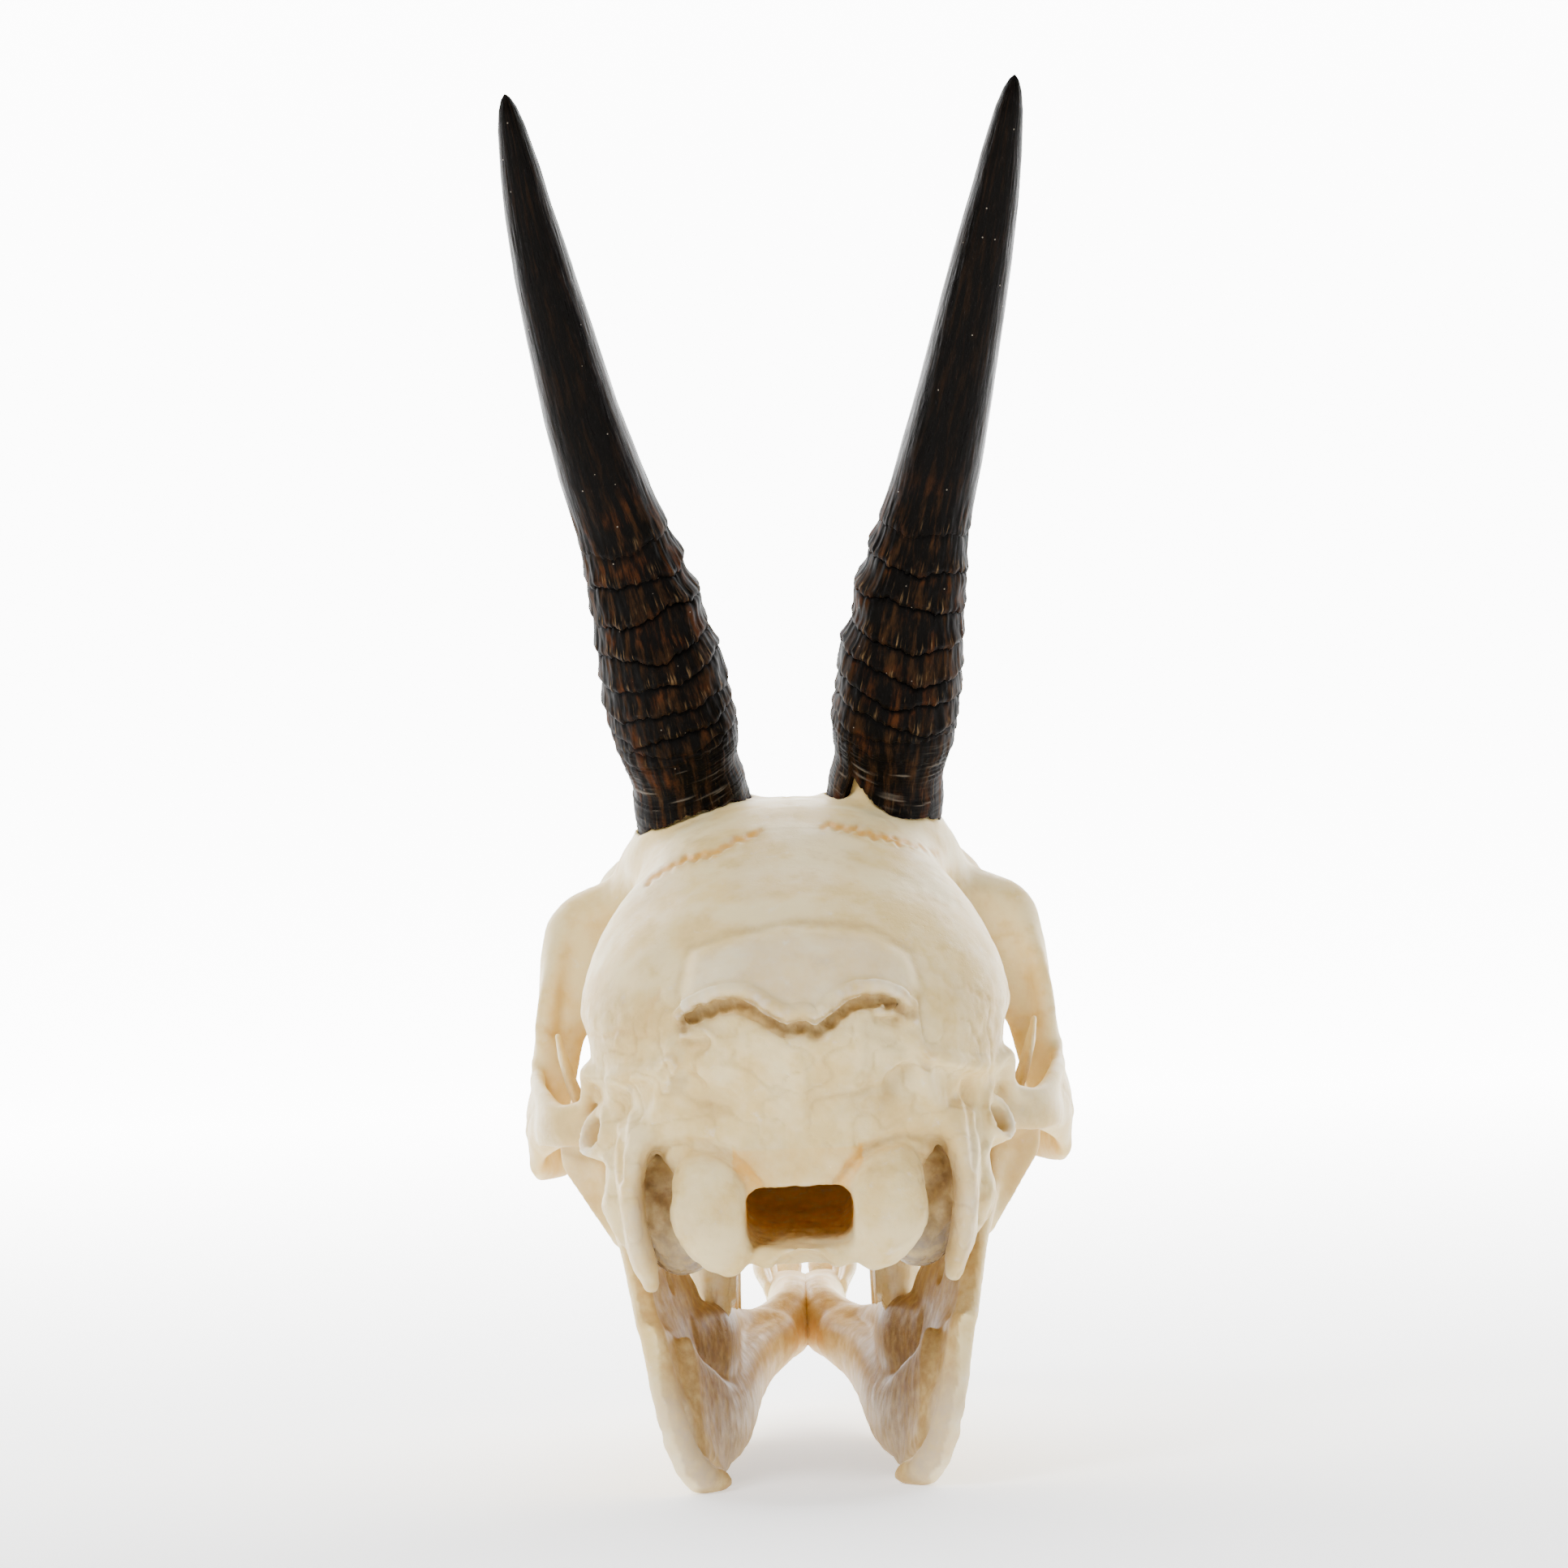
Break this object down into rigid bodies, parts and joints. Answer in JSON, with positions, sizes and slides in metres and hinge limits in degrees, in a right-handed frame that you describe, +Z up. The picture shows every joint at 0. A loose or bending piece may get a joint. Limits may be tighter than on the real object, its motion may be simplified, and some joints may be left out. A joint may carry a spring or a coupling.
{
  "type": "antelope skull",
  "caption": "Life-size skull of a small antelope with ringed horns and its lower jaw in place, standing on the jaw.",
  "frame": {"origin": "the middle of the footprint of the whole skull, at the level that the lower jaw stands on", "axes": "+Z up; +Y towards the snout; +X towards the animal's right side"},
  "size_m": [0.0834, 0.1661, 0.2073],
  "materials": {
    "bone": "dry cleaned bone and tooth, cream to ivory, satin",
    "horn": "dark keratin, fibrous, satin to glossy"
  },
  "bodies": {
    "root": {"cranium": "bone", "nasal_left": "bone", "nasal_right": "bone", "premaxilla_left": "bone", "premaxilla_right": "bone", "mandible_left": "bone", "mandible_right": "bone", "horn_left": "horn", "horn_right": "horn"}
  },
  "joints": []
}
